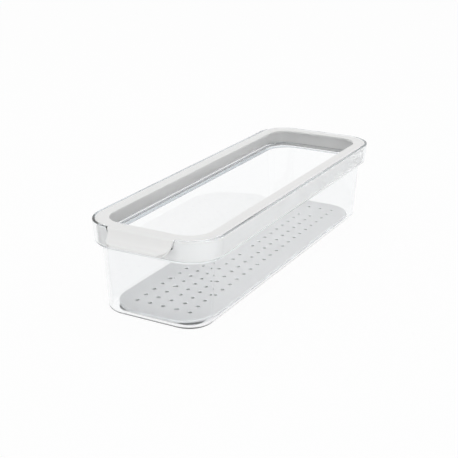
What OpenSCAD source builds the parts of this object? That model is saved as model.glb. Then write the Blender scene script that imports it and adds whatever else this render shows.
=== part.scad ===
// Long clear fridge bin with a lift-out white rim frame and a perforated drain tray.
// X runs across the bin, Y along it, Z up. The pull tab faces -Y.
// The origin is on the ground, under the middle of the bin.

/* [Bin body] */
// Height of the bin from the ground to the rim
bin_h = 87.4; // [80:0.1:110]
// Width of the base, where the wall's slope meets the ground
base_w = 106.6; // [102:0.1:112]
// Length of the base, where the wall's slope meets the ground
base_l = 367.6; // [360:0.1:368.4]
// Corner radius of the base in plan
base_r = 23.5; // [21:0.1:26]
// Outward slope of the walls in degrees
wall_draft = 3.1; // [2:0.1:3.3]
// Thickness of the walls
wall_t = 2.2; // [1.8:0.1:2.6]
// Thickness of the floor
floor_t = 2.2; // [1.8:0.1:2.4]
// Radius of the round edge between the walls and the base
base_edge_r = 5; // [4:0.1:6]

/* [Collar] */
// Width of the collar at its top
collar_w = 131.6; // [131:0.1:134]
// Length of the collar at its top
collar_l = 386; // [385:0.1:390]
// Corner radius of the collar in plan, at its top
collar_r = 33; // [32:0.1:36]
// Height of the collar
collar_h = 22.2; // [20:0.1:24]
// Outward slope of the collar in degrees
collar_draft = 4.2; // [2:0.1:5]
// Thickness of the collar's wall
collar_t = 2.6; // [2.2:0.1:2.8]
// Radius of the round edge under the collar
collar_edge_r = 3.5; // [2.5:0.1:4.5]
// Thickness of the collar's foot under the groove that the frame stands in
foot_t = 2.2; // [1.8:0.1:2.6]
// Depth of the groove
groove_h = 3.6; // [3:0.1:4]
// Radius of the round edge between the shoulder and the inside of the walls
ledge_r = 1.1; // [0.8:0.1:1.1]

/* [Rim frame] */
// Width of the opening
opening_w = 103; // [102:0.1:104]
// Length of the opening
opening_l = 358; // [357:0.1:359]
// Corner radius of the opening in plan
opening_r = 22; // [20:0.1:24]
// Thickness of the frame's border
frame_t = 2.2; // [1.8:0.1:2.4]
// Thickness of the frame's skirt at its foot
skirt_t = 1.5; // [1.2:0.1:1.6]
// Radius of the soft edges round the opening
opening_edge_r = 0.6; // [0.4:0.1:0.8]
// Side gap between the frame and the collar
frame_gap = 0.4; // [0.3:0.05:0.6]

/* [Pull tab] */
// Width of the tab at the rim
tab_w = 67.4; // [64:0.1:70]
// Narrowing of each side of the tab from the rim to the lip
tab_taper = 3; // [1:0.1:3.4]
// Radius of the tab's front corners, seen from above
tab_corner_r = 8; // [5:0.1:9]
// Radius where the border turns down into the tab
tab_brow_r = 2.1; // [2.1:0.1:2.6]
// Radius of the hollow sweep of the tab
tab_sweep_r = 8; // [7.6:0.1:8.4]
// Angle through which the hollow sweep turns outwards in degrees
tab_sweep_a = 84; // [80:1:86]
// Length of the flat shelf between the sweep and the lip
tab_shelf = 1.5; // [1:0.1:3]
// Radius of the round lip
tab_lip_r = 2.4; // [2.2:0.1:3]
// Thickness of the tab
tab_t = 2; // [1.8:0.1:2]
// Gap between the tab and the sides of its notch
tab_gap = 1; // [0.6:0.05:1.2]
// Depth of the notch in the collar's front
notch_h = 9.2; // [9:0.1:11]
// Radius of the notch's lower corners
notch_r = 1.5; // [1:0.1:1.6]

/* [Drain tray] */
// Width of the tray
tray_w = 99; // [96:0.1:99.4]
// Length of the tray
tray_l = 356.4; // [350:0.1:357]
// Corner radius of the tray in plan
tray_r = 29; // [27:0.1:32]
// Height of the tray's top above the ground
tray_top = 5.6; // [5.4:0.1:7]
// Thickness of the tray's plate
tray_t = 1.6; // [1.4:0.1:1.8]
// Gap between the tray's rim and the floor
tray_rim_gap = 0.8; // [0.6:0.1:1]
// Diameter of a drain hole
hole_d = 4; // [3:0.1:5]
// Distance between holes across the tray
hole_pitch_x = 14; // [13:0.1:15]
// Distance between holes along the tray
hole_pitch_y = 14.3; // [13.8:0.1:14.6]
// Number of holes across the tray
hole_columns = 5; // [5:2:5]
// Number of holes along the tray
hole_rows = 23; // [19:2:23]
// Diameter of a stud under the tray
stud_d = 6; // [4:0.1:7]

/* [Hidden] */
$fn = 96;
// Overrun of a cut past the face that it opens
cut = 1;
// Overlap of two shapes that are joined end to end
lap = 0.2;

// Heights of the collar's lower face, of the groove's floor, where the frame stands, and of the shoulder
collar_z = bin_h - collar_h;
seat_z = collar_z + foot_t;
shoulder_z = seat_z + groove_h;

// Centres of the corner arcs of each ring, as half width and half length
base_c = [base_w / 2 - base_r, base_l / 2 - base_r];
collar_c = [collar_w / 2 - collar_r, collar_l / 2 - collar_r];
opening_c = [opening_w / 2 - opening_r, opening_l / 2 - opening_r];
tray_c = [tray_w / 2 - tray_r, tray_l / 2 - tray_r];

// Reach of the collar's outer and inner faces from its corner centres, at a height
function collar_reach(z) = collar_r - (bin_h - z) * tan(collar_draft);
function collar_inner(z) = collar_reach(z) - collar_t;
// Reach of the wall's outer and inner faces from the base's corner centres, at a height
function wall_reach(z) = base_r + z * tan(wall_draft);
function wall_inner(z) = wall_reach(z) - wall_t / cos(wall_draft);

// Small radii and bevels of the moulded edges
rim_r = 0.7;
groove_fillet_r = 0.6;
skirt_bevel = 0.6;
tray_edge_r = 1;
tray_rim_t = 1.6;
tray_rim_w = 8;

// The groove holds the skirt's foot with a gap on both sides
groove_x = collar_inner(seat_z) - skirt_t - 2 * frame_gap;
// Parts of the shoulder that are swept with the collar and with the walls
collar_edge_w = 0.9;
wall_edge_w = 0.9;

// The frame's skirt stands inside the collar's inner face
function skirt_reach(z) = collar_inner(z) - frame_gap;

// The tab comes through the notch at the skirt's inner face and is flush with the collar below its brow
tab_root_y = collar_c[1] + skirt_reach(bin_h) - frame_t;
tab_y = collar_l / 2;
tab_brow_z = bin_h - tab_brow_r;
// Centre of the hollow sweep, and of the lip's arc that turns it down again
sweep_y = tab_y + tab_sweep_r;
lip_y = sweep_y - (tab_sweep_r + tab_lip_r) * cos(tab_sweep_a) + tab_shelf * sin(tab_sweep_a);
lip_z = tab_brow_z - (tab_sweep_r + tab_lip_r) * sin(tab_sweep_a) - tab_shelf * cos(tab_sweep_a);
// The lip ends in a round tip
tip_y = lip_y + tab_lip_r - tab_t / 2;
tip_z = lip_z;
// Lowest and foremost points of the tab
tab_low = tip_z - tab_t / 2;
tab_front = lip_y + tab_lip_r;

// Studs that the tray stands on, across and along
stud_x = hole_pitch_x * 1.5;
stud_y = hole_pitch_y * [-8.5, 0.5, 8.5];

// Plan outline with corner arcs about the given centres
module round_plan(centre, r) {
    square([2 * (centre[0] + r), 2 * centre[1]], center = true);
    square([2 * centre[0], 2 * (centre[1] + r)], center = true);
    for (x = [-1, 1], y = [-1, 1])
        translate([x * centre[0], y * centre[1]]) circle(r);
}

// Carries a section, drawn as reach and height, round a plan with corner arcs
module sweep_round(centre) {
    for (x = [0, 1], y = [0, 1])
        mirror([x, 0, 0]) mirror([0, y, 0])
            translate([centre[0], centre[1], 0]) rotate_extrude(angle = 90) children();
    for (x = [0, 1])
        mirror([x, 0, 0]) translate([centre[0], centre[1], 0])
            rotate([90, 0, 0]) linear_extrude(2 * centre[1]) children();
    for (y = [0, 1])
        mirror([0, y, 0]) translate([-centre[0], centre[1], 0])
            rotate([90, 0, 90]) linear_extrude(2 * centre[0]) children();
}

// Half section of a tub whose side slopes outwards and meets its base in an arc
module tub_section(reach, low, high, draft, edge_r) {
    // Centre of the arc that touches the base and the sloping side
    arc_x = reach + edge_r * tan(draft) - edge_r / cos(draft);
    polygon([
        [0, low],
        [arc_x, low],
        [arc_x + edge_r * cos(draft), low + edge_r * (1 - sin(draft))],
        [reach + (high - low) * tan(draft), high],
        [0, high]
    ]);
    translate([arc_x, low + edge_r]) circle(edge_r);
}

// Sector of a ring between two radii, from angle a to angle b
module ring_sector(inner, outer, a, b) {
    far = outer / cos((b - a) / 2) + cut;
    intersection() {
        difference() {
            circle(outer);
            circle(inner);
        }
        polygon([[0, 0], far * [cos(a), sin(a)], far * [cos((a + b) / 2), sin((a + b) / 2)],
                 far * [cos(b), sin(b)]]);
    }
}

// Section of the clear wall and floor, with the thinner edge that stands up beside the groove
module wall_section() {
    difference() {
        union() {
            tub_section(base_r, 0, collar_z + foot_t / 2, wall_draft, base_edge_r);
            polygon([
                [base_r, collar_z],
                [wall_inner(collar_z) + wall_edge_w, collar_z],
                [wall_inner(shoulder_z) + wall_edge_w, shoulder_z],
                [base_r, shoulder_z]
            ]);
        }
        tub_section(wall_inner(floor_t), floor_t, shoulder_z + cut, wall_draft, base_edge_r - wall_t);
    }
}

// Section of the collar: its foot, the groove, the shoulder's edge, and the rim with its round edges
module collar_section() {
    rim_z = bin_h - rim_r;
    rim_inner = collar_inner(rim_z) + rim_r;
    difference() {
        tub_section(collar_reach(collar_z), collar_z, rim_z, collar_draft, collar_edge_r);
        difference() {
            tub_section(collar_inner(seat_z), seat_z, bin_h + cut, collar_draft, groove_fillet_r);
            translate([0, collar_z]) square([groove_x, shoulder_z - collar_z]);
        }
        square([groove_x - collar_edge_w, bin_h + cut]);
    }
    translate([rim_inner, rim_z - lap]) square([collar_t - 2 * rim_r, rim_r + lap]);
    for (x = [rim_inner, rim_inner + collar_t - 2 * rim_r])
        translate([x, rim_z]) circle(rim_r);
}

module clear_bin() {
    color([0.93, 0.95, 0.96, 0.35])
    difference() {
        union() {
            sweep_round(base_c) wall_section();
            translate([-base_c[0], -base_c[1], 0]) cube([2 * base_c[0], 2 * base_c[1], floor_t]);
            sweep_round(collar_c) collar_section();
            translate([0, 0, collar_z]) linear_extrude(shoulder_z - collar_z) difference() {
                round_plan(collar_c, groove_x - collar_edge_w + lap);
                round_plan(base_c, wall_inner(shoulder_z) + lap);
            }
        }
        sweep_round(base_c) ledge_edge_section();
        tab_notch();
    }
}

// What the round edge between the shoulder and the inside of the walls takes away
module ledge_edge_section() {
    centre_z = shoulder_z - ledge_r;
    centre_x = wall_inner(centre_z) + ledge_r / cos(wall_draft);
    tangent_z = centre_z + ledge_r * sin(wall_draft);
    start_x = wall_inner(tangent_z) - cut;
    difference() {
        translate([start_x, tangent_z]) square([centre_x - start_x, shoulder_z + cut - tangent_z]);
        translate([centre_x, centre_z]) circle(ledge_r);
    }
}

// Cut for the tab through the collar's front, open at the rim
module tab_notch() {
    low = bin_h - notch_h;
    translate([0, -collar_c[1] - collar_r / 2, 0])
        rotate([90, 0, 0]) linear_extrude(collar_r) difference() {
            tab_face(tab_gap, low, bin_h + cut);
            for (x = [-1, 1])
                notch_corner(x, low);
        }
}

// What a round lower corner of the notch leaves standing
module notch_corner(side, low) {
    x = tab_side(low) + tab_gap;
    difference() {
        translate([side * x, low]) square(2 * notch_r, center = true);
        translate([side * (x - notch_r), low + notch_r]) circle(notch_r);
        translate([side * (x - 2 * notch_r), low]) square(2 * notch_r, center = true);
        translate([side * x, low + 2 * notch_r]) square(2 * notch_r, center = true);
    }
}

// Half width of the tab at a height
function tab_side(z) = tab_w / 2 - tab_taper * (bin_h - z) / (bin_h - tab_low);

// Front outline of the tab between two heights, widened by a gap on each side
module tab_face(gap, low, high) {
    polygon([
        [-tab_side(low) - gap, low],
        [tab_side(low) + gap, low],
        [tab_side(high) + gap, high],
        [-tab_side(high) - gap, high]
    ]);
}

// Outline of the tab from above, with round front corners
module tab_plan() {
    half = tab_side(lip_z + tab_lip_r);
    r = tab_corner_r;
    translate([-tab_w / 2, r - tab_front]) square([tab_w, tab_front - r - tab_root_y]);
    translate([r - half, -tab_front]) square([2 * (half - r), tab_front - tab_root_y]);
    for (x = [-1, 1])
        translate([x * (half - r), r - tab_front]) circle(r);
}

// Section of the frame's skirt, which leans with the collar, thins downwards and clears the groove's fillet
module skirt_section() {
    bevel_z = seat_z + skirt_bevel;
    edge_z = bin_h - rim_r;
    polygon([
        [skirt_reach(seat_z) - skirt_t, seat_z],
        [skirt_reach(seat_z) - skirt_bevel, seat_z],
        [skirt_reach(bevel_z), bevel_z],
        [skirt_reach(edge_z), edge_z],
        [skirt_reach(edge_z) - rim_r, bin_h],
        [skirt_reach(bin_h) - frame_t, bin_h]
    ]);
    translate([skirt_reach(edge_z) - rim_r, edge_z]) circle(rim_r);
}

// Section of the border's inner edge, with its soft edges
module opening_edge_section() {
    r = opening_edge_r;
    low = bin_h - frame_t;
    translate([opening_r, low + r]) square([r + lap, frame_t - 2 * r]);
    translate([opening_r + r, low]) square([frame_t, frame_t]);
    for (z = [low + r, bin_h - r])
        translate([opening_r + r, z]) circle(r);
}

// Section of the pull tab: root, brow, hollow sweep, shelf, round lip and tip, with Y drawn outwards
module tab_section() {
    brow_y = tab_y - tab_brow_r;
    translate([tab_root_y, bin_h - tab_t]) square([brow_y + lap - tab_root_y, tab_t]);
    translate([brow_y, tab_brow_z]) ring_sector(tab_brow_r - tab_t, tab_brow_r, 0, 90);
    translate([sweep_y, tab_brow_z])
        ring_sector(tab_sweep_r, tab_sweep_r + tab_t, 180, 180 + tab_sweep_a);
    translate([sweep_y, tab_brow_z]) rotate(tab_sweep_a)
        translate([-tab_sweep_r - tab_t, -tab_shelf - lap]) square([tab_t, tab_shelf + 2 * lap]);
    translate([lip_y, lip_z]) ring_sector(tab_lip_r - tab_t, tab_lip_r, 0, tab_sweep_a);
    translate([tip_y, tip_z]) circle(tab_t / 2);
}

module pull_tab() {
    intersection() {
        rotate([90, 0, -90]) linear_extrude(tab_w, center = true) tab_section();
        rotate([90, 0, 0]) linear_extrude(collar_l) tab_face(0, tab_low, bin_h);
        linear_extrude(bin_h) tab_plan();
    }
}

module rim_frame() {
    color([0.92, 0.92, 0.92])
    union() {
        sweep_round(collar_c) skirt_section();
        sweep_round(opening_c) opening_edge_section();
        translate([0, 0, bin_h - frame_t]) linear_extrude(frame_t) difference() {
            round_plan(collar_c, skirt_reach(bin_h) - frame_t);
            round_plan(opening_c, opening_r + frame_t);
        }
        pull_tab();
    }
}

// Section of the tray's edge: plate, round upper edge and turned-down rim
module tray_edge_section() {
    low = floor_t + tray_rim_gap;
    translate([tray_r - tray_rim_w, tray_top - tray_t]) square([tray_rim_w - tray_edge_r, tray_t]);
    translate([tray_r - tray_rim_t, low]) square([tray_rim_t, tray_top - tray_edge_r - low]);
    translate([tray_r - tray_edge_r, tray_top - tray_edge_r]) circle(tray_edge_r);
}

// Places of the holes: none at the moulding gate in the middle, nor on the bare patch near the far end
module drain_holes() {
    mid_column = (hole_columns - 1) / 2;
    mid_row = (hole_rows - 1) / 2;
    for (i = [0 : hole_columns - 1], j = [0 : hole_rows - 1]) {
        at_gate = i == mid_column && j == mid_row;
        at_patch = abs(i - mid_column) <= 1 && j == hole_rows - 2;
        if (!at_gate && !at_patch)
            translate([(i - mid_column) * hole_pitch_x, (j - mid_row) * hole_pitch_y, 0])
                cylinder(d = hole_d, h = tray_top + cut);
    }
}

module drain_tray() {
    color([0.84, 0.85, 0.86])
    difference() {
        union() {
            sweep_round(tray_c) tray_edge_section();
            translate([0, 0, tray_top - tray_t]) linear_extrude(tray_t)
                round_plan(tray_c, tray_r - tray_rim_w);
            for (x = [-stud_x, stud_x], y = stud_y)
                translate([x, y, floor_t]) cylinder(d = stud_d, h = tray_top - tray_t / 2 - floor_t);
        }
        drain_holes();
    }
}

clear_bin();
rim_frame();
drain_tray();
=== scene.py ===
"""Looks of a long clear fridge bin with a white rim frame and a grey drain tray.

Lengths are in millimetres, and a mesh is scaled to metres when it is made. X runs across the bin,
Y along it, Z up, and the pull tab faces -Y.
"""

import logging
import math
from dataclasses import dataclass
from enum import Enum
from typing import Sequence

import bmesh
import bpy
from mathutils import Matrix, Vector


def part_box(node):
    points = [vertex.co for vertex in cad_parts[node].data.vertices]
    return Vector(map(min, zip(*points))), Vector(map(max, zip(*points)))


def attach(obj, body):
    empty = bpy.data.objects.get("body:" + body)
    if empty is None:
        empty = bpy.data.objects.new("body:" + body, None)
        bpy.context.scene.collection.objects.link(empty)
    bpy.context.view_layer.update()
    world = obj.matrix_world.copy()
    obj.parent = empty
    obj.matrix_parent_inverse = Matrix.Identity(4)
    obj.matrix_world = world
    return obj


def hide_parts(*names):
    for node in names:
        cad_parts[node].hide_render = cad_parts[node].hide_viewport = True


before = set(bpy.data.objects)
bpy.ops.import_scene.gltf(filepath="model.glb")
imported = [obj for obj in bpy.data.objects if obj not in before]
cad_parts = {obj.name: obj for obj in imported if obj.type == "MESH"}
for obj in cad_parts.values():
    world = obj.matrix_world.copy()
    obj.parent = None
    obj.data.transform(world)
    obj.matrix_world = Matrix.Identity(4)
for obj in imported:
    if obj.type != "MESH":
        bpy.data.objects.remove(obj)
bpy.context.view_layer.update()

MM = 0.001
LOG = logging.getLogger("fridge_bin")

Colour = tuple[float, float, float]
Rings = list[list[Vector]]


class Node(Enum):
    """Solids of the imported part."""

    BIN = "clear_bin"
    FRAME = "rim_frame"
    TRAY = "drain_tray"


class Body(Enum):
    """Bodies that the pieces ride on."""

    BIN = "bin"
    FRAME = "frame"
    TRAY = "tray"


class Slot(Enum):
    """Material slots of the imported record."""

    CLEAR = "clear_plastic"
    WHITE = "white_plastic"
    GREY = "grey_plastic"


class Operation(Enum):
    """Ways to combine two closed meshes."""

    CUT = "DIFFERENCE"
    JOIN = "UNION"


def top_of(node: Node) -> float:
    """Height of a solid's highest point in millimetres.

    Args:
        node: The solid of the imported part.

    Returns:
        The height above the ground.
    """
    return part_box(node.value)[1].z / MM


@dataclass(frozen=True)
class Plan:
    """Centres of a ring's four corner arcs, as half width and half length."""

    x: float
    y: float

    def ring(self, reach: float, height: float, steps: int) -> list[Vector]:
        """Points round the ring, counter-clockwise from above.

        Args:
            reach: Distance from the corner centres.
            height: Height above the ground.
            steps: Straight pieces in each corner arc.

        Returns:
            The ring's points in millimetres.
        """
        points = []
        for quarter, (side, end) in enumerate(((1, 1), (-1, 1), (-1, -1), (1, -1))):
            for step in range(steps + 1):
                angle = math.radians(90 * (quarter + step / steps))
                points.append(Vector((
                    side * self.x + reach * math.cos(angle),
                    end * self.y + reach * math.sin(angle),
                    height,
                )))
        return points


@dataclass(frozen=True)
class Knot:
    """One point of a section: its plan, its reach from the plan's centres and its height."""

    plan: Plan
    reach: float
    height: float


def arc(plan: Plan, reach: float, height: float, radius: float, start: float, end: float,
        steps: int = 8) -> list[Knot]:
    """Knots along a round edge of a section.

    Args:
        plan: Plan that the section is carried round.
        reach: Reach of the arc's centre.
        height: Height of the arc's centre.
        radius: Radius of the arc.
        start: First angle in degrees, where 0 points outwards and 90 up.
        end: Last angle in degrees.
        steps: Straight pieces in the arc.

    Returns:
        The knots in order.
    """
    knots = []
    for step in range(steps + 1):
        angle = math.radians(start + (end - start) * step / steps)
        knots.append(Knot(plan, reach + radius * math.cos(angle), height + radius * math.sin(angle)))
    return knots


def tub_foot(plan: Plan, reach: float, low: float, radius: float, draft: float) -> list[Knot]:
    """Round edge between a flat base and a side that slopes outwards.

    Args:
        plan: Plan that the section is carried round.
        reach: Reach at which the side's slope meets the base.
        low: Height of the base.
        radius: Radius of the edge.
        draft: Slope of the side in degrees.

    Returns:
        Knots from the base to the side.
    """
    slope = math.radians(draft)
    centre = reach + radius * math.tan(slope) - radius / math.cos(slope)
    return arc(plan, centre, low + radius, radius, -90, -draft, 10)


class MeshMaker:
    """Makes mesh objects from rings of points and combines them."""

    CORNER_STEPS = 32
    EDGE_STEPS = 3

    @staticmethod
    def link(name: str, shape: bmesh.types.BMesh) -> bpy.types.Object:
        """Turns a shape into an object of the scene.

        Args:
            name: Name of the object.
            shape: The shape in millimetres. It is freed.

        Returns:
            The object, in metres.
        """
        bmesh.ops.recalc_face_normals(shape, faces=shape.faces)
        bmesh.ops.scale(shape, vec=(MM, MM, MM), verts=shape.verts)
        mesh = bpy.data.meshes.new(name)
        shape.to_mesh(mesh)
        shape.free()
        piece = bpy.data.objects.new(name, mesh)
        bpy.context.scene.collection.objects.link(piece)
        return piece

    @classmethod
    def loft(cls, name: str, rings: Rings, closed: bool) -> bpy.types.Object:
        """Skins a row of rings that all have the same number of points.

        Args:
            name: Name of the object.
            rings: The rings in order.
            closed: True joins the last ring to the first, and False caps both ends.

        Returns:
            The closed mesh as an object.
        """
        shape = bmesh.new()
        loops = [[shape.verts.new(point) for point in ring] for ring in rings]
        pairs = list(zip(loops, loops[1:]))
        if closed:
            pairs.append((loops[-1], loops[0]))
        else:
            shape.faces.new(loops[0])
            shape.faces.new(loops[-1])
        count = len(loops[0])
        for one, two in pairs:
            for i in range(count):
                j = (i + 1) % count
                shape.faces.new((one[i], one[j], two[j], two[i]))
        return cls.link(name, shape)

    @classmethod
    def sweep(cls, name: str, knots: Sequence[Knot], closed: bool) -> bpy.types.Object:
        """Carries a section round its plans.

        Args:
            name: Name of the object.
            knots: The section's points in order.
            closed: True for a ring, and False for a tub or plate with flat caps.

        Returns:
            The closed mesh as an object.
        """
        return cls.loft(name, [k.plan.ring(k.reach, k.height, cls.CORNER_STEPS) for k in knots], closed)

    @classmethod
    def cylinders(cls, name: str, centres: Sequence[tuple[float, float]], radius: float, low: float,
                  high: float, sides: int) -> bpy.types.Object:
        """Upright cylinders in one mesh.

        Args:
            name: Name of the object.
            centres: Places of the cylinders, across and along.
            radius: Radius of each cylinder.
            low: Height of their lower ends.
            high: Height of their upper ends.
            sides: Sides of each cylinder.

        Returns:
            The cylinders as one object.
        """
        shape = bmesh.new()
        turns = [2 * math.pi * i / sides for i in range(sides)]
        for x, y in centres:
            ends = []
            for z in (low, high):
                ring = [(x + radius * math.cos(a), y + radius * math.sin(a), z) for a in turns]
                ends.append([shape.verts.new(point) for point in ring])
                shape.faces.new(ends[-1])
            for i in range(sides):
                j = (i + 1) % sides
                shape.faces.new((ends[0][i], ends[0][j], ends[1][j], ends[1][i]))
        return cls.link(name, shape)

    @staticmethod
    def apply(piece: bpy.types.Object) -> None:
        """Makes a piece's modifiers permanent.

        Args:
            piece: The piece.
        """
        graph = bpy.context.evaluated_depsgraph_get()
        solid = bpy.data.meshes.new_from_object(piece.evaluated_get(graph))
        piece.modifiers.clear()
        old = piece.data
        piece.data = solid
        bpy.data.meshes.remove(old)

    @classmethod
    def combine(cls, piece: bpy.types.Object, tool: bpy.types.Object, how: Operation) -> None:
        """Cuts a piece with a tool, or joins the tool to it, and removes the tool.

        Args:
            piece: The piece that is kept.
            tool: The closed mesh that cuts it or is joined to it.
            how: Which of the two.
        """
        step = piece.modifiers.new(how.name.lower(), "BOOLEAN")
        step.operation = how.value
        step.solver = "EXACT"
        step.object = tool
        cls.apply(piece)
        bpy.data.meshes.remove(tool.data)

    @classmethod
    def soften(cls, piece: bpy.types.Object, edge: float, angle: float = 35.0) -> None:
        """Rounds a piece's sharp edges and shades it as a smooth moulding.

        Args:
            piece: The piece.
            edge: Width of the rounding.
            angle: Least angle of an edge that is rounded, in degrees.
        """
        piece.data.polygons.foreach_set("use_smooth", [True] * len(piece.data.polygons))
        bevel = piece.modifiers.new("edges", "BEVEL")
        bevel.width = edge * MM
        bevel.segments = cls.EDGE_STEPS
        bevel.limit_method = "ANGLE"
        bevel.angle_limit = math.radians(angle)
        shade = piece.modifiers.new("shading", "WEIGHTED_NORMAL")
        shade.keep_sharp = True


class Graph:
    """Adds nodes to a node tree and links them."""

    NOISE_LOW = 0.3
    NOISE_HIGH = 0.7

    def __init__(self, tree: bpy.types.NodeTree) -> None:
        """Starts on an empty tree."""
        self.tree = tree
        tree.nodes.clear()

    def add(self, kind: str, **values: object) -> bpy.types.Node:
        """Adds a node.

        Args:
            kind: Blender's name of the node type.
            **values: Values of its inputs, with spaces in their names as underscores.

        Returns:
            The node.
        """
        node = self.tree.nodes.new(kind)
        for name, value in values.items():
            node.inputs[name.replace("_", " ")].default_value = value
        return node

    def join(self, source: bpy.types.NodeSocket, target: bpy.types.NodeSocket) -> None:
        """Links an output to an input."""
        self.tree.links.new(source, target)

    def noise(self, scale: float, detail: float = 2.0) -> bpy.types.NodeSocket:
        """Adds a noise over the piece's own coordinates.

        Args:
            scale: Waves per metre.
            detail: Finer layers of the noise.

        Returns:
            The noise's grey output.
        """
        place = self.add("ShaderNodeTexCoord")
        noise = self.add("ShaderNodeTexNoise", Scale=scale, Detail=detail)
        self.join(place.outputs["Object"], noise.inputs["Vector"])
        return noise.outputs["Fac"]

    def span(self, source: bpy.types.NodeSocket, low: float, high: float) -> bpy.types.NodeSocket:
        """Stretches a noise to a range of values.

        Args:
            source: A value around the middle of 0 to 1.
            low: Value where the noise is low.
            high: Value where the noise is high.

        Returns:
            The stretched value.
        """
        node = self.add("ShaderNodeMapRange", From_Min=self.NOISE_LOW, From_Max=self.NOISE_HIGH,
                        To_Min=low, To_Max=high)
        self.join(source, node.inputs["Value"])
        return node.outputs["Result"]

    def relief(self, source: bpy.types.NodeSocket, depth: float) -> bpy.types.NodeSocket:
        """Turns a grey value into a surface relief.

        Args:
            source: The grey value.
            depth: Depth of the relief in millimetres.

        Returns:
            The normal for a shader.
        """
        node = self.add("ShaderNodeBump", Distance=depth * MM)
        self.join(source, node.inputs["Height"])
        return node.outputs["Normal"]

    def between(self, source: bpy.types.NodeSocket, one: Colour, two: Colour) -> bpy.types.NodeSocket:
        """Mixes two colours by a grey value.

        Args:
            source: The grey value.
            one: Colour at 0.
            two: Colour at 1.

        Returns:
            The mixed colour.
        """
        node = self.tree.nodes.new("ShaderNodeMix")
        node.data_type = "RGBA"
        node.inputs["A"].default_value = (*one, 1)
        node.inputs["B"].default_value = (*two, 1)
        self.join(source, node.inputs["Factor"])
        return node.outputs["Result"]


@dataclass(frozen=True)
class ClearPlastic:
    """Crystal-clear moulded plastic, polished, with the faint waves of a moulding."""

    tint: Colour = (0.995, 0.997, 0.998)
    deep: Colour = (0.60, 0.66, 0.70)
    density: float = 24.0
    passing: Colour = (0.96, 0.965, 0.97)
    index: float = 1.5
    rough: float = 0.02
    wave: float = 0.006
    waves_per_m: float = 45.0
    name: str = "clear_plastic"

    def material(self) -> bpy.types.Material:
        """Makes the material, which lets the lamps' light through.

        Returns:
            The material.
        """
        finish = bpy.data.materials.new(self.name)
        finish.use_nodes = True
        graph = Graph(finish.node_tree)
        shader = graph.add("ShaderNodeBsdfPrincipled", Transmission_Weight=1.0, IOR=self.index)
        shader.inputs["Base Color"].default_value = (*self.tint, 1)
        waves = graph.noise(self.waves_per_m, 1.0)
        graph.join(graph.span(waves, 0.0, self.rough), shader.inputs["Roughness"])
        graph.join(graph.relief(waves, self.wave), shader.inputs["Normal"])
        inside = graph.add("ShaderNodeVolumeAbsorption", Density=self.density)
        inside.inputs["Color"].default_value = (*self.deep, 1)
        path = graph.add("ShaderNodeLightPath")
        passing = graph.add("ShaderNodeBsdfTransparent", Color=(*self.passing, 1))
        mix = graph.add("ShaderNodeMixShader")
        graph.join(path.outputs["Is Shadow Ray"], mix.inputs["Fac"])
        graph.join(shader.outputs["BSDF"], mix.inputs[1])
        graph.join(passing.outputs["BSDF"], mix.inputs[2])
        output = graph.add("ShaderNodeOutputMaterial")
        graph.join(mix.outputs["Shader"], output.inputs["Surface"])
        graph.join(inside.outputs["Volume"], output.inputs["Volume"])
        return finish


@dataclass(frozen=True)
class SatinPlastic:
    """Opaque moulded plastic with a fine satin grain and a slight change of tone."""

    name: str
    colour: Colour
    shade: Colour
    index: float = 1.46
    rough: float = 0.45
    rough_change: float = 0.05
    tones_per_m: float = 28.0
    grain: float = 0.012
    grains_per_m: float = 2600.0

    def material(self) -> bpy.types.Material:
        """Makes the material.

        Returns:
            The material.
        """
        finish = bpy.data.materials.new(self.name)
        finish.use_nodes = True
        graph = Graph(finish.node_tree)
        shader = graph.add("ShaderNodeBsdfPrincipled", IOR=self.index)
        tone = graph.span(graph.noise(self.tones_per_m), 0.0, 1.0)
        graph.join(graph.between(tone, self.shade, self.colour), shader.inputs["Base Color"])
        fine = graph.noise(self.grains_per_m, 3.0)
        rough = graph.span(fine, self.rough - self.rough_change, self.rough + self.rough_change)
        graph.join(rough, shader.inputs["Roughness"])
        graph.join(graph.relief(fine, self.grain), shader.inputs["Normal"])
        output = graph.add("ShaderNodeOutputMaterial")
        graph.join(shader.outputs["BSDF"], output.inputs["Surface"])
        return finish


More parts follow.
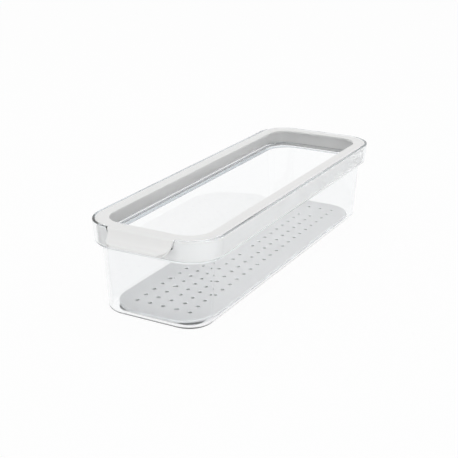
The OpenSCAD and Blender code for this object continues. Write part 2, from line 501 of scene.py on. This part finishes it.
@dataclass(frozen=True)
class Tab:
    """Outline and section of the pull tab, shared with the notch that it comes through."""

    height: float
    root: float = 187.8
    start: float = 193.0
    width: float = 67.4
    taper: float = 3.0
    corner: float = 8.0
    brow: float = 2.1
    sweep: float = 8.0
    turn: float = 84.0
    shelf: float = 1.5
    lip: float = 2.4
    thick: float = 2.0
    gap: float = 1.0
    notch_depth: float = 9.2
    notch_corner: float = 1.5

    @property
    def brow_height(self) -> float:
        """Height at which the brow ends and the hollow begins."""
        return self.height - self.brow

    @property
    def lip_centre(self) -> tuple[float, float]:
        """Centre of the lip's arc.

        Returns:
            Its distance from the middle of the bin and its height.
        """
        turn = math.radians(self.turn)
        out = self.start + self.sweep - (self.sweep + self.lip) * math.cos(turn)
        down = self.brow_height - (self.sweep + self.lip) * math.sin(turn)
        return out + self.shelf * math.sin(turn), down - self.shelf * math.cos(turn)

    @property
    def front(self) -> float:
        """Distance of the tab's foremost point."""
        return self.lip_centre[0] + self.lip

    @property
    def low(self) -> float:
        """Height of the tab's lowest point."""
        return self.lip_centre[1] - self.thick / 2

    def side(self, height: float) -> float:
        """Half width of the tab at a height."""
        return self.width / 2 - self.taper * (self.height - height) / (self.height - self.low)

    def half_width(self, out: float, height: float) -> float:
        """Half width of the tab at a point of its section, with its round front corners.

        Args:
            out: Distance of the point from the middle of the bin.
            height: Height of the point.

        Returns:
            The half width.
        """
        half = self.side(height)
        past = out - (self.front - self.corner)
        if past <= 0:
            return half
        widest = self.side(self.lip_centre[1] + self.lip)
        return min(half, widest - self.corner + math.sqrt(max(0.0, self.corner ** 2 - past ** 2)))

    def section(self) -> list[tuple[float, float]]:
        """Closed section of the tab, from the root along its upper face and back below.

        Returns:
            Points as distance and height.
        """
        upper: list[tuple[float, float]] = [(self.root, self.height)]
        lower: list[tuple[float, float]] = [(self.root, self.height - self.thick)]

        def turn_about(centre: tuple[float, float], top: float, below: float, start: float, end: float,
                       steps: int) -> None:
            """Carries both faces round an arc.

            Args:
                centre: Centre of the arc, as distance and height.
                top: Radius of the upper face.
                below: Radius of the lower face.
                start: First angle in degrees.
                end: Last angle in degrees.
                steps: Straight pieces in the arc.
            """
            for step in range(steps + 1):
                angle = math.radians(start + (end - start) * step / steps)
                out, up = math.cos(angle), math.sin(angle)
                for radius, row in ((top, upper), (below, lower)):
                    row.append((centre[0] + radius * out, centre[1] + radius * up))

        turn_about((self.start - self.brow, self.brow_height), self.brow, self.brow - self.thick,
                   90, 0, 8)
        turn_about((self.start + self.sweep, self.brow_height), self.sweep, self.sweep + self.thick,
                   180, 180 + self.turn, 18)
        turn_about(self.lip_centre, self.lip, self.lip - self.thick, self.turn, 0, 10)
        tip = []
        tip_r = self.thick / 2
        tip_steps = 8
        for step in range(1, tip_steps):
            angle = math.radians(-180 * step / tip_steps)
            tip.append((self.front - tip_r + tip_r * math.cos(angle),
                        self.lip_centre[1] + tip_r * math.sin(angle)))
        return upper + tip + lower[::-1]

    def mesh(self, name: str) -> bpy.types.Object:
        """Makes the tab as a closed mesh.

        Args:
            name: Name of the object.

        Returns:
            The tab, reaching into the frame at its root.
        """
        rings: Rings = [[], []]
        for out, height in self.section():
            half = self.half_width(out, height)
            rings[0].append(Vector((-half, -out, height)))
            rings[1].append(Vector((half, -out, height)))
        return MeshMaker.loft(name, rings, False)

    def notch_outline(self) -> list[tuple[float, float]]:
        """Outline of the notch in the collar, from the right edge round below to the left edge.

        Returns:
            Points as distance across and height.
        """
        low = self.height - self.notch_depth
        high = self.height + 1
        half = self.side(low) + self.gap
        right = [(self.side(high) + self.gap, high)]
        corner_steps = 6
        for step in range(corner_steps + 1):
            angle = math.radians(-90 * step / corner_steps)
            right.append((half - self.notch_corner * (1 - math.cos(angle)),
                          low + self.notch_corner * (1 + math.sin(angle))))
        return right + [(-x, z) for x, z in reversed(right)]

    def notch_cutter(self, near: float, far: float) -> bpy.types.Object:
        """Makes the solid that cuts the notch.

        Args:
            near: Distance of its inner face from the middle of the bin.
            far: Distance of its outer face.

        Returns:
            The cutter.
        """
        outline = self.notch_outline()
        rings = [[Vector((x, -out, z)) for x, z in outline] for out in (near, far)]
        return MeshMaker.loft("notch_cutter", rings, False)


@dataclass
class ClearBin:
    """The clear moulding: drafted walls, floor, and a collar with a groove and a shoulder inside."""

    height: float
    tab: Tab
    base: Plan = Plan(29.8, 160.3)
    base_r: float = 23.5
    base_edge: float = 5.0
    draft: float = 3.1
    wall: float = 2.2
    floor: float = 2.2
    collar: Plan = Plan(32.8, 160.0)
    collar_r: float = 33.0
    collar_h: float = 22.2
    collar_draft: float = 4.2
    collar_wall: float = 2.6
    collar_edge: float = 3.5
    foot: float = 2.2
    groove_h: float = 3.6
    groove_w: float = 2.3
    ledge_edge: float = 1.1
    rim_edge: float = 0.7
    fillet: float = 0.6
    edge: float = 0.35

    @property
    def seat(self) -> float:
        """Height of the groove's floor, which the frame stands on."""
        return self.height - self.collar_h + self.foot

    def wall_reach(self, height: float) -> float:
        """Reach of the wall's outer face at a height."""
        return self.base_r + height * math.tan(math.radians(self.draft))

    def wall_inner(self, height: float) -> float:
        """Reach of the wall's inner face at a height."""
        return self.wall_reach(height) - self.wall / math.cos(math.radians(self.draft))

    def collar_reach(self, height: float) -> float:
        """Reach of the collar's outer face at a height."""
        return self.collar_r - (self.height - height) * math.tan(math.radians(self.collar_draft))

    def collar_inner(self, height: float) -> float:
        """Reach of the collar's inner face at a height."""
        return self.collar_reach(height) - self.collar_wall

    def knots(self) -> list[Knot]:
        """Section from the middle of the base, up the outside, over the rim and down to the floor.

        Returns:
            The section's knots.
        """
        low = self.height - self.collar_h
        ledge = self.seat + self.groove_h
        rim = self.height - self.rim_edge
        soft = self.fillet
        outer = self.collar_reach(rim) - self.rim_edge
        inner = self.collar_inner(rim) + self.rim_edge
        groove = self.collar_inner(self.seat) - self.groove_w
        root = self.seat + soft
        knots = tub_foot(self.base, self.base_r, 0, self.base_edge, self.draft)
        knots += arc(self.base, self.wall_reach(low - soft) + soft, low - soft, soft, 180, 90, 5)
        knots += tub_foot(self.collar, self.collar_reach(low), low, self.collar_edge, self.collar_draft)
        knots += arc(self.collar, outer, rim, self.rim_edge, 0, 90, 5)
        knots += arc(self.collar, inner, rim, self.rim_edge, 90, 180, 5)
        knots += arc(self.collar, self.collar_inner(root) - soft, root, soft, 0, -90, 5)
        knots += [Knot(self.collar, groove, self.seat), Knot(self.collar, groove, ledge)]
        bend = self.ledge_edge
        knots += arc(self.base, self.wall_inner(ledge - bend) + bend, ledge - bend, bend, 90, 180, 8)
        knots += tub_foot(self.base, self.wall_inner(self.floor), self.floor,
                          self.base_edge - self.wall, self.draft)[::-1]
        return knots

    def build(self) -> bpy.types.Object:
        """Makes the bin's mesh.

        Returns:
            The bin with the notch for the tab.
        """
        piece = MeshMaker.sweep("bin_body", self.knots(), False)
        near = self.collar.y + self.collar_r / 2
        cutter = self.tab.notch_cutter(near, near + self.collar_r)
        MeshMaker.combine(piece, cutter, Operation.CUT)
        MeshMaker.soften(piece, self.edge)
        return piece

    def dress(self, piece: bpy.types.Object, finish: ClearPlastic) -> None:
        """Gives the bin its finish and its body.

        Args:
            piece: The bin.
            finish: Its plastic.
        """
        piece.data.materials.clear()
        piece.data.materials.append(finish.material())
        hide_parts(Node.BIN.value)
        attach(piece, Body.BIN.value)


@dataclass
class RimFrame:
    """The white frame that drops into the collar, with its pull tab."""

    height: float
    tab: Tab
    shell: ClearBin
    opening: Plan = Plan(29.5, 157.0)
    opening_r: float = 22.0
    opening_edge: float = 0.3
    thick: float = 2.2
    foot_thick: float = 1.5
    gap: float = 0.4
    bevel: float = 0.6
    outer_edge: float = 0.7
    edge: float = 0.4

    def skirt_reach(self, height: float) -> float:
        """Reach of the skirt's outer face at a height."""
        return self.shell.collar_inner(height) - self.gap

    def knots(self) -> list[Knot]:
        """Section of the frame, from the skirt's foot over the border and back inside.

        Returns:
            The section's knots.
        """
        outer = self.shell.collar
        foot = self.shell.seat
        bevel = foot + self.bevel
        crown = self.height - self.outer_edge
        under = self.height - self.thick
        nose = self.opening_r + self.opening_edge
        knots = [
            Knot(outer, self.skirt_reach(foot) - self.bevel, foot),
            Knot(outer, self.skirt_reach(bevel), bevel),
        ]
        knots += arc(outer, self.skirt_reach(crown) - self.outer_edge, crown, self.outer_edge, 0, 90, 5)
        knots += arc(self.opening, nose, self.height - self.opening_edge, self.opening_edge, 90, 180, 5)
        knots += arc(self.opening, nose, under + self.opening_edge, self.opening_edge, 180, 270, 5)
        knots += [
            Knot(outer, self.skirt_reach(under) - self.thick, under),
            Knot(outer, self.skirt_reach(foot) - self.foot_thick, foot),
        ]
        return knots

    def build(self) -> bpy.types.Object:
        """Makes the frame's mesh.

        Returns:
            The frame with its tab.
        """
        piece = MeshMaker.sweep("frame_body", self.knots(), True)
        MeshMaker.combine(piece, self.tab.mesh("pull_tab"), Operation.JOIN)
        MeshMaker.soften(piece, self.edge)
        return piece

    def dress(self, piece: bpy.types.Object, finish: SatinPlastic) -> None:
        """Gives the frame its finish and its body.

        Args:
            piece: The frame.
            finish: Its plastic.
        """
        piece.data.materials.clear()
        piece.data.materials.append(finish.material())
        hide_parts(Node.FRAME.value)
        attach(piece, Body.FRAME.value)


@dataclass
class DrainTray:
    """The grey tray with its rows of drain holes and its feet."""

    top: float
    floor: float
    plan: Plan = Plan(16.5, 145.2)
    corner_r: float = 33.0
    thick: float = 1.6
    rim: float = 1.6
    rim_gap: float = 0.8
    round_edge: float = 1.0
    hole: float = 2.0
    pitch_x: float = 14.0
    pitch_y: float = 14.3
    columns: int = 5
    rows: int = 23
    foot: float = 3.0
    foot_columns: tuple[float, ...] = (-1.5, 1.5)
    foot_rows: tuple[float, ...] = (-8.5, 0.5, 8.5)
    sides: int = 24
    edge: float = 0.25

    def knots(self) -> list[Knot]:
        """Section from the middle of the top, over the edge and back below.

        Returns:
            The section's knots.
        """
        low = self.floor + self.rim_gap
        r = self.round_edge
        knots = arc(self.plan, self.corner_r - r, self.top - r, r, 90, 0, 6)
        knots += [
            Knot(self.plan, self.corner_r, low),
            Knot(self.plan, self.corner_r - self.rim, low),
            Knot(self.plan, self.corner_r - self.rim, self.top - self.thick),
        ]
        return knots

    def hole_places(self) -> list[tuple[float, float]]:
        """Places of the holes: none at the gate in the middle, nor on the bare patch near the far end.

        Returns:
            Places across and along.
        """
        middle, half = (self.columns - 1) // 2, (self.rows - 1) // 2
        places = []
        for i in range(-middle, middle + 1):
            for j in range(-half, half + 1):
                at_gate = i == 0 and j == 0
                at_patch = abs(i) <= 1 and j == half - 1
                if not at_gate and not at_patch:
                    places.append((i * self.pitch_x, j * self.pitch_y))
        return places

    def foot_places(self) -> list[tuple[float, float]]:
        """Places of the feet across and along."""
        return [(x * self.pitch_x, y * self.pitch_y) for x in self.foot_columns for y in self.foot_rows]

    def build(self) -> bpy.types.Object:
        """Makes the tray's mesh.

        Returns:
            The tray with its holes and feet.
        """
        piece = MeshMaker.sweep("tray_body", self.knots(), False)
        holes = MeshMaker.cylinders("hole_cutter", self.hole_places(), self.hole, self.floor,
                                    self.top + 1, self.sides)
        MeshMaker.combine(piece, holes, Operation.CUT)
        feet = MeshMaker.cylinders("feet", self.foot_places(), self.foot, self.floor,
                                   self.top - self.thick / 2, self.sides)
        MeshMaker.combine(piece, feet, Operation.JOIN)
        MeshMaker.soften(piece, self.edge)
        return piece

    def dress(self, piece: bpy.types.Object, finish: SatinPlastic) -> None:
        """Gives the tray its finish and its body.

        Args:
            piece: The tray.
            finish: Its plastic.
        """
        piece.data.materials.clear()
        piece.data.materials.append(finish.material())
        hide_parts(Node.TRAY.value)
        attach(piece, Body.TRAY.value)


@dataclass(frozen=True)
class Lamp:
    """A soft rectangular lamp."""

    name: str
    place: tuple[float, float, float]
    aim: tuple[float, float, float]
    size: tuple[float, float]
    power: float
    spread: float = 180.0

    def build(self) -> None:
        """Adds the lamp to the scene, unseen except for its light and its gloss."""
        data = bpy.data.lights.new(self.name, "AREA")
        data.shape = "RECTANGLE"
        data.size, data.size_y = self.size
        data.energy = self.power
        data.spread = math.radians(self.spread)
        lamp = bpy.data.objects.new(self.name, data)
        lamp.location = self.place
        way = Vector(self.aim) - Vector(self.place)
        lamp.rotation_euler = way.to_track_quat("-Z", "Y").to_euler()
        lamp.visible_camera = False
        lamp.visible_transmission = False
        bpy.context.scene.collection.objects.link(lamp)


@dataclass
class Studio:
    """Pale floor, soft light and the camera, in metres."""

    floor_size: float = 12.0
    floor_colour: Colour = (0.86, 0.86, 0.86)
    floor_glow: float = 0.95
    glass_glow: float = 1.0
    drop: float = 0.0002
    base: Plan = Plan(29.8, 160.3)
    base_reach: float = 14.0
    lens: float = 77.15
    camera_place: tuple[float, float, float] = (0.4457, -0.8405, 0.3835)
    camera_turn: tuple[float, float, float] = (69.538, 0.0, 28.938)
    fill: float = 0.72
    bounces: int = 48
    lamps: tuple[Lamp, ...] = (
        Lamp("top_lamp", (0.1, 0.0, 1.6), (0.0, 0.0, 0.05), (1.4, 1.8), 5.5),
        Lamp("right_lamp", (1.4, -0.4, 0.08), (0.0, 0.0, 0.08), (1.2, 0.016), 0.2, 30.0),
        Lamp("front_lamp", (0.1, -1.6, 0.08), (0.0, 0.0, 0.08), (1.2, 0.016), 0.15, 30.0),
    )

    @staticmethod
    def either(graph: Graph, path: bpy.types.Node, names: Sequence[str]) -> bpy.types.NodeSocket:
        """A value that is 1 for any of some kinds of ray.

        Args:
            graph: Node tree that needs it.
            path: The tree's Light Path node.
            names: Names of the node's outputs.

        Returns:
            The value.
        """
        value = path.outputs[names[0]]
        for name in names[1:]:
            most = graph.tree.nodes.new("ShaderNodeMath")
            most.operation = "MAXIMUM"
            graph.join(value, most.inputs[0])
            graph.join(path.outputs[name], most.inputs[1])
            value = most.outputs["Value"]
        return value

    def make_world(self) -> None:
        """Soft light from all round, in front of a white background."""
        world = bpy.data.worlds.new("studio_light")
        world.use_nodes = True
        bpy.context.scene.world = world
        graph = Graph(world.node_tree)
        path = graph.add("ShaderNodeLightPath")
        light = graph.add("ShaderNodeBackground", Color=(1, 1, 1, 1), Strength=self.fill)
        white = graph.add("ShaderNodeBackground", Color=(1, 1, 1, 1), Strength=1.0)
        mix = graph.add("ShaderNodeMixShader")
        seen = self.either(graph, path, ("Is Camera Ray", "Is Glossy Ray", "Is Transmission Ray"))
        graph.join(seen, mix.inputs["Fac"])
        graph.join(light.outputs["Background"], mix.inputs[1])
        graph.join(white.outputs["Background"], mix.inputs[2])
        output = graph.add("ShaderNodeOutputWorld")
        graph.join(mix.outputs["Shader"], output.inputs["Surface"])

    def make_floor(self) -> None:
        """White floor that keeps a faint shadow."""
        half = self.floor_size / 2
        signs = ((-1, -1), (1, -1), (1, 1), (-1, 1))
        square = [Vector((x * half, y * half, -2 * self.drop)) for x, y in signs]
        ring = self.base.ring(self.base_reach, -self.drop / MM, MeshMaker.CORNER_STEPS // 2)
        patch = [point * MM for point in ring]
        paints = (
            ("floor", square, self.floor_paint("floor_paint", (
                (self.floor_glow, ("Is Camera Ray", "Is Glossy Ray")),
                (self.glass_glow, ("Is Transmission Ray",)),
            ))),
            ("floor_under_bin", patch, self.floor_paint("shaded_floor_paint", ())),
        )
        for name, outline, paint in paints:
            mesh = bpy.data.meshes.new(name)
            mesh.from_pydata(outline, [], [range(len(outline))])
            mesh.materials.append(paint)
            floor = bpy.data.objects.new(name, mesh)
            bpy.context.scene.collection.objects.link(floor)

    def floor_paint(self, name: str,
                    shares: Sequence[tuple[float, Sequence[str]]]) -> bpy.types.Material:
        """Makes a matt paint that looks white to some kinds of ray.

        A ray that has met a matt surface sees the plain paint, so the white look lights no piece.

        Args:
            name: Name of the paint.
            shares: How white the paint looks, with the kinds of ray that see it so.

        Returns:
            The paint.
        """
        paint = bpy.data.materials.new(name)
        paint.use_nodes = True
        graph = Graph(paint.node_tree)
        path = graph.add("ShaderNodeLightPath")
        matt = graph.add("ShaderNodeBsdfDiffuse", Color=(*self.floor_colour, 1))
        glow = graph.add("ShaderNodeEmission", Color=(1, 1, 1, 1), Strength=1.0)
        last = matt.outputs["BSDF"]
        for share, names in shares:
            direct = graph.add("ShaderNodeMapRange", From_Min=0.0, From_Max=1.0, To_Min=share, To_Max=0.0)
            graph.join(path.outputs["Diffuse Depth"], direct.inputs["Value"])
            white = graph.tree.nodes.new("ShaderNodeMath")
            white.operation = "MULTIPLY"
            graph.join(self.either(graph, path, names), white.inputs[0])
            graph.join(direct.outputs["Result"], white.inputs[1])
            mix = graph.add("ShaderNodeMixShader")
            graph.join(white.outputs["Value"], mix.inputs["Fac"])
            graph.join(last, mix.inputs[1])
            graph.join(glow.outputs["Emission"], mix.inputs[2])
            last = mix.outputs["Shader"]
        output = graph.add("ShaderNodeOutputMaterial")
        graph.join(last, output.inputs["Surface"])
        return paint

    def make_camera(self) -> None:
        """Camera at the photograph's place."""
        data = bpy.data.cameras.new("camera")
        data.lens = self.lens
        data.sensor_width = 36.0
        camera = bpy.data.objects.new("camera", data)
        camera.location = self.camera_place
        camera.rotation_euler = [math.radians(angle) for angle in self.camera_turn]
        bpy.context.scene.collection.objects.link(camera)
        bpy.context.scene.camera = camera

    def build(self) -> None:
        """Sets up the floor, the light and the camera."""
        scene = bpy.context.scene
        scene.view_settings.view_transform = "Standard"
        for kind in ("max", "transmission", "glossy", "transparent_max"):
            setattr(scene.cycles, f"{kind}_bounces", self.bounces)
        self.make_camera()
        self.make_world()
        self.make_floor()
        for lamp in self.lamps:
            lamp.build()


def main() -> None:
    """Builds the pieces in order and reports each one."""
    logging.basicConfig(level=logging.INFO, format="%(name)s: %(message)s")
    Studio().build()
    tab = Tab(top_of(Node.FRAME))
    clear_bin = ClearBin(top_of(Node.BIN), tab)
    jobs = (
        (clear_bin, ClearPlastic()),
        (RimFrame(top_of(Node.FRAME), tab, clear_bin),
         SatinPlastic("white_plastic", (0.87, 0.87, 0.865), (0.85, 0.85, 0.845))),
        (DrainTray(top_of(Node.TRAY), clear_bin.floor),
         SatinPlastic("grey_plastic", (0.83, 0.84, 0.85), (0.81, 0.82, 0.83))),
    )
    for maker, finish in jobs:
        piece = maker.build()
        maker.dress(piece, finish)
        LOG.info("%s: %d faces, finish %s", piece.name, len(piece.data.polygons), finish.name)


if __name__ == "__main__":
    main()
